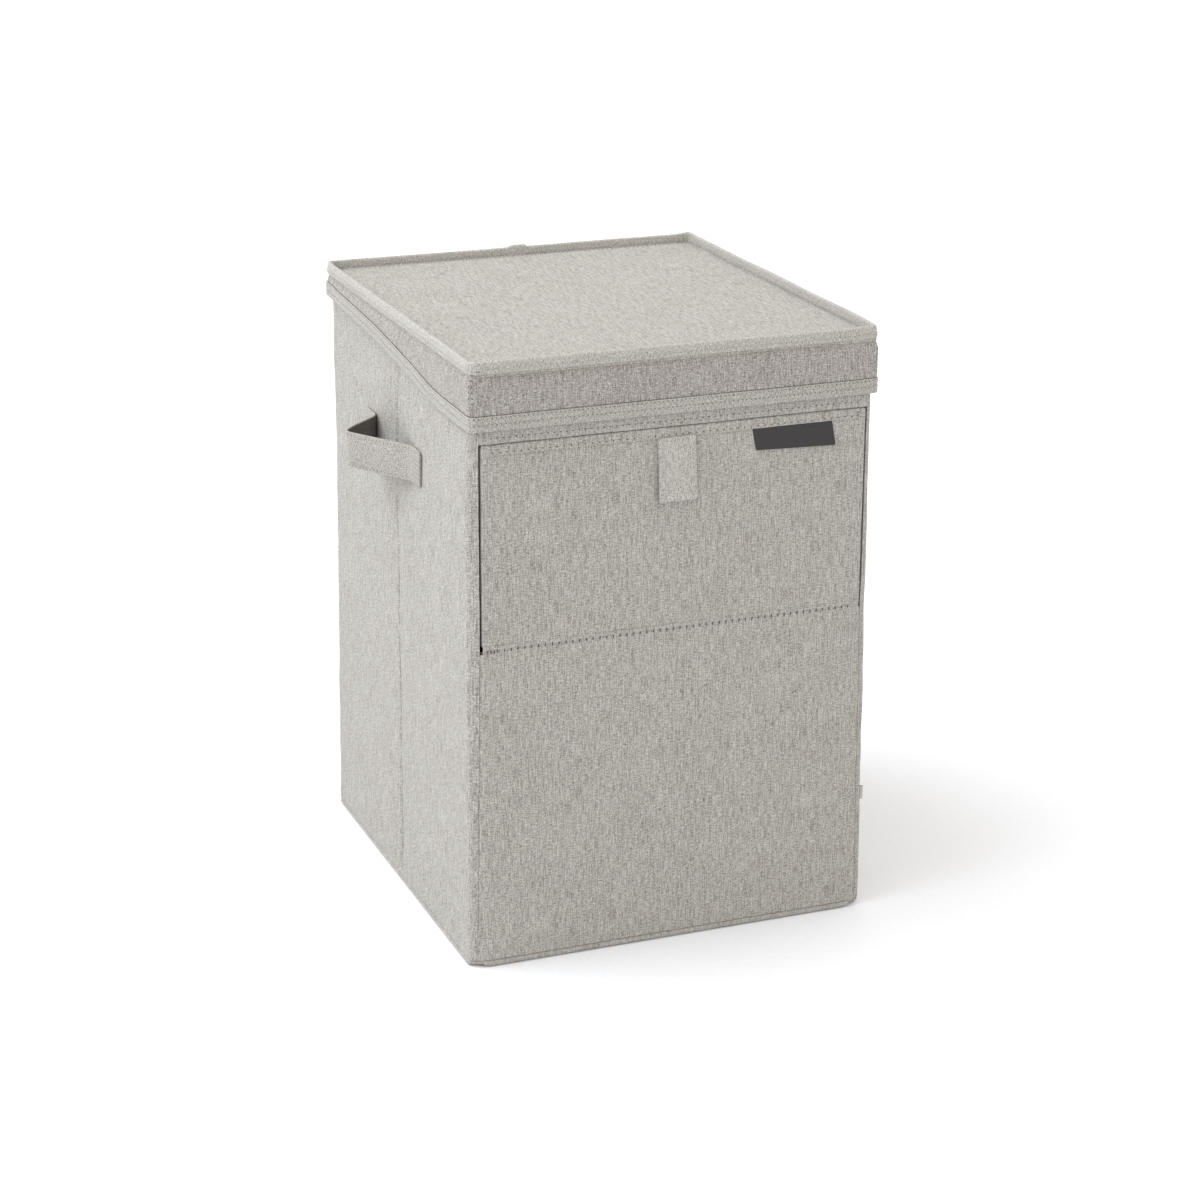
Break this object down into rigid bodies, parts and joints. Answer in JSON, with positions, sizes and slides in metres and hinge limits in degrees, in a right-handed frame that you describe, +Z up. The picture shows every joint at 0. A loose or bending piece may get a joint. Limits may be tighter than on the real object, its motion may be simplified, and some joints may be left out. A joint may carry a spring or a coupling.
{
  "type": "foldable fabric storage bin",
  "caption": "Upright rectangular fabric bin with board-stiffened walls, hinged lid with a deep front skirt, drop-front flap with pull tab and bowed side strap handles.",
  "frame": {"origin": "centre of the footprint, on the floor", "axes": "+Z up, -Y towards the front with the drop flap, +X to the right side seen from the front"},
  "size_m": [0.3666, 0.3446, 0.45],
  "materials": {
    "cover_fabric": "heathered linen-look plain weave, matt",
    "lining_fabric": "smooth coated lining, matt",
    "binding_tape": "folded tape of the cover fabric, topstitched",
    "strap_fabric": "doubled cover fabric, topstitched",
    "woven_label": "plain charcoal woven tape",
    "care_label": "plain satin tape",
    "closure_tape": "hook-and-loop tape",
    "board": "uncoated grey board"
  },
  "bodies": {
    "shell_back": {"back_cover": "cover_fabric", "back_board": "board", "back_lining": "lining_fabric", "base_cover": "cover_fabric", "base_board": "board", "base_lining": "lining_fabric", "lid_hinge_tape": "binding_tape"},
    "left_rear": {"left_rear_cover": "cover_fabric", "left_rear_board": "board", "left_rear_lining": "lining_fabric", "left_handle_strap": "strap_fabric"},
    "left_front": {"left_front_cover": "cover_fabric", "left_front_board": "board", "left_front_lining": "lining_fabric"},
    "right_rear": {"right_rear_cover": "cover_fabric", "right_rear_board": "board", "right_rear_lining": "lining_fabric", "right_handle_strap": "strap_fabric"},
    "right_front": {"right_front_cover": "cover_fabric", "right_front_board": "board", "right_front_lining": "lining_fabric", "care_label": "care_label"},
    "front_wall": {"front_cover": "cover_fabric", "front_lower_board": "board", "front_rail_board": "board", "front_lining": "lining_fabric", "closure_ledge": "cover_fabric", "closure_loop_tapes": "closure_tape"},
    "flap": {"flap_cover": "cover_fabric", "flap_board": "board", "flap_lining": "lining_fabric", "closure_hook_tapes": "closure_tape", "pull_tab": "strap_fabric", "woven_label": "woven_label"},
    "lid": {"lid_cover": "cover_fabric", "lid_board": "board", "lid_lining": "lining_fabric", "lid_rim_binding": "binding_tape", "lid_skirt_front": "cover_fabric", "lid_skirt_left": "cover_fabric", "lid_skirt_right": "cover_fabric", "skirt_hem_binding": "binding_tape"}
  },
  "joints": [
    {"name": "left_rear_fold", "type": "hinge", "parent": "shell_back", "child": "left_rear", "pos_m": [-0.146, 0.163, 0], "axis": [0, 0, 1], "range_deg": [0, 60]},
    {"name": "left_crease_fold", "type": "hinge", "parent": "left_rear", "child": "left_front", "pos_m": [-0.151, 0, 0], "axis": [0, 0, 1], "range_deg": [-120, 0], "deforming": ["left_handle_strap"]},
    {"name": "front_wall_turn", "type": "hinge", "parent": "left_front", "child": "front_wall", "pos_m": [-0.146, -0.163, 0], "axis": [0, 0, 1], "range_deg": [0, 60]},
    {"name": "right_front_turn", "type": "hinge", "parent": "front_wall", "child": "right_front", "pos_m": [0.146, -0.163, 0], "axis": [0, 0, 1], "range_deg": [0, 60]},
    {"name": "right_crease_fold", "type": "hinge", "parent": "right_front", "child": "right_rear", "pos_m": [0.151, 0, 0], "axis": [0, 0, 1], "range_deg": [-120, 0], "deforming": ["right_handle_strap"]},
    {"name": "flap_fold", "type": "hinge", "parent": "front_wall", "child": "flap", "pos_m": [0, -0.1688, 0.242], "axis": [1, 0, 0], "range_deg": [0, 176]},
    {"name": "lid_hinge", "type": "hinge", "parent": "shell_back", "child": "lid", "pos_m": [0, 0.1728, 0.4372], "axis": [-1, 0, 0], "range_deg": [0, 180], "deforming": ["lid_hinge_tape"]}
  ],
  "couplings": [
    {"joint": "left_crease_fold", "follows": "left_rear_fold", "ratio": -2},
    {"joint": "front_wall_turn", "follows": "left_rear_fold", "ratio": 1},
    {"joint": "right_front_turn", "follows": "left_rear_fold", "ratio": 1},
    {"joint": "right_crease_fold", "follows": "left_rear_fold", "ratio": -2}
  ]
}
